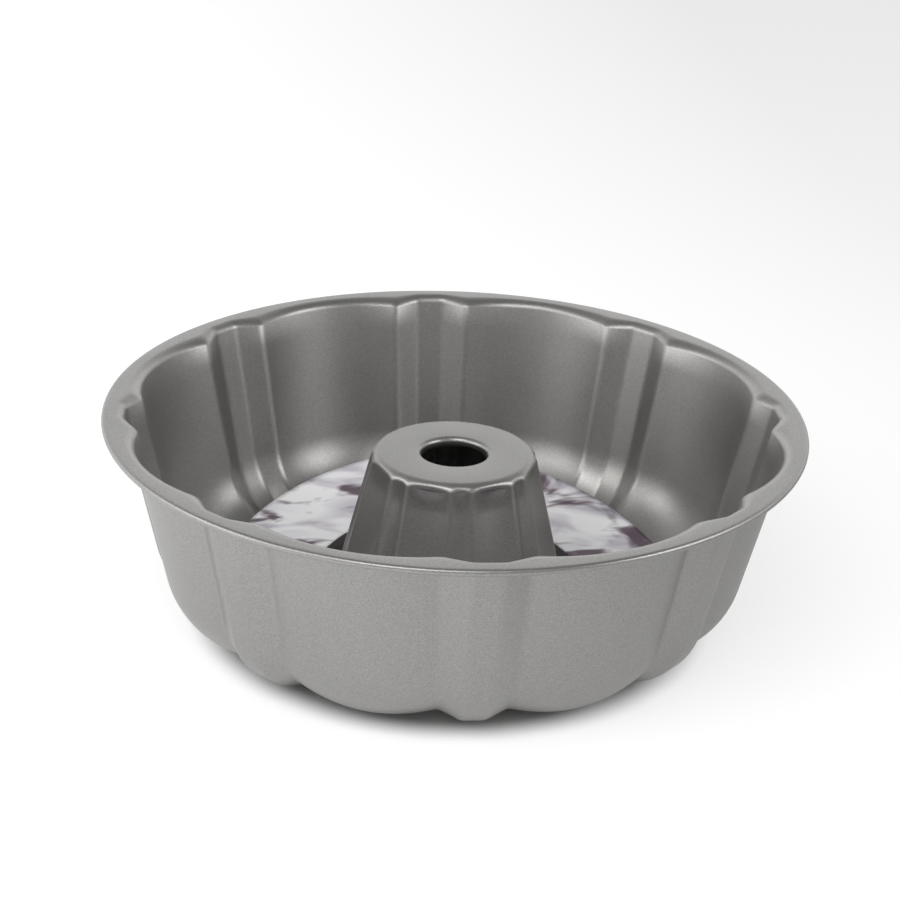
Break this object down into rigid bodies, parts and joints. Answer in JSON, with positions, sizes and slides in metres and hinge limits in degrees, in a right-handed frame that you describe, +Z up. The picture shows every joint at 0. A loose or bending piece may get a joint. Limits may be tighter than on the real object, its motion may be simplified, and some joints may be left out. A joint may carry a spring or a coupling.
{
  "type": "brioche mould",
  "caption": "Round fluted ring cake tin with a tapered centre tube, flat flange, rolled edge and a loose printed card ring in the channel.",
  "frame": {"origin": "on the table, under the middle of the tin", "axes": "+Z up through the centre tube, +X and +Y through the middles of narrow lobes"},
  "size_m": [0.25, 0.25, 0.0785],
  "materials": {
    "coated_steel": "satin grey non-stick coating",
    "printed_card": "smooth printed card"
  },
  "bodies": {
    "tin": {"pan": "coated_steel"},
    "card_ring": {"card": "printed_card"}
  },
  "joints": [
    {"name": "card_lift", "type": "slide", "parent": "tin", "child": "card_ring", "axis": [0, 0, 1], "range_m": [0, 0.085]}
  ]
}
